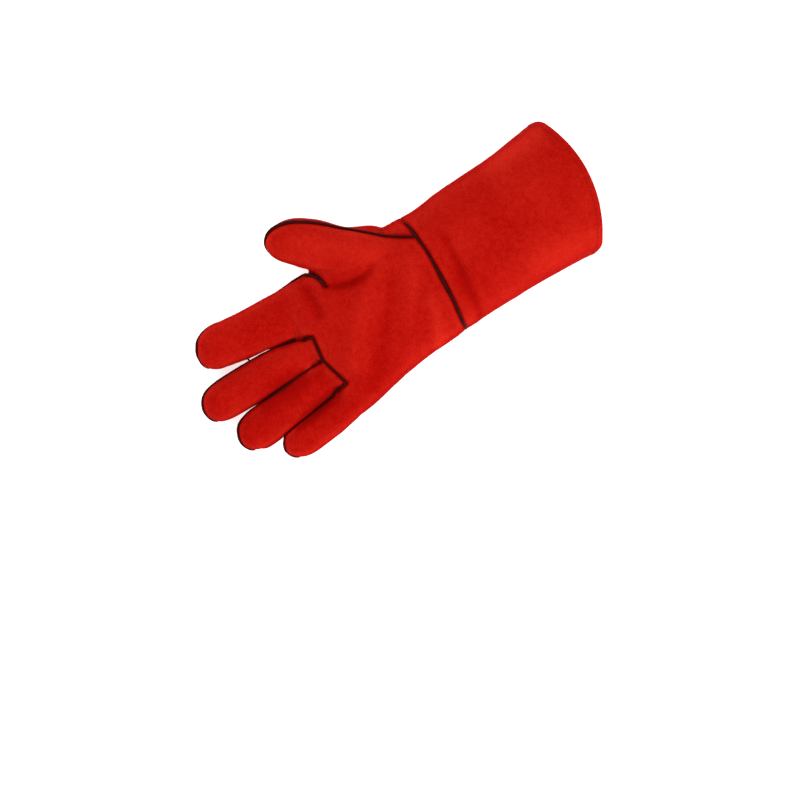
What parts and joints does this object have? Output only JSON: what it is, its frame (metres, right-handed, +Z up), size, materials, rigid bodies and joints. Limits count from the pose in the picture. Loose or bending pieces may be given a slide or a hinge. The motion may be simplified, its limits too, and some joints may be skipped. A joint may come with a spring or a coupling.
{
  "type": "welding safety glove",
  "caption": "Right-hand welding gauntlet of red split leather with black piping in its seams, long flared cuff, hollow, lying palm up.",
  "frame": {"origin": "centre of the glove's bounding box in plan, on the surface that its back rests on", "axes": "+X from the fingertips to the cuff opening, +Y towards the thumb, +Z up out of the palm"},
  "size_m": [0.3536, 0.165, 0.0761],
  "materials": {
    "split_cowhide": "red split cowhide with a short suede nap, matt",
    "black_piping": "black leather welt, dull satin"
  },
  "bodies": {
    "root": {"back_panel": "split_cowhide", "palm_panel": "split_cowhide", "middle_finger_front": "split_cowhide", "ring_finger_front": "split_cowhide", "thumb_back": "split_cowhide", "cuff_front": "split_cowhide", "wrist_piping": "black_piping", "thumb_piping": "black_piping", "index_piping": "black_piping", "middle_piping": "black_piping", "ring_piping": "black_piping", "little_piping": "black_piping", "finger_base_piping": "black_piping", "middle_ring_piping": "black_piping"}
  },
  "joints": []
}
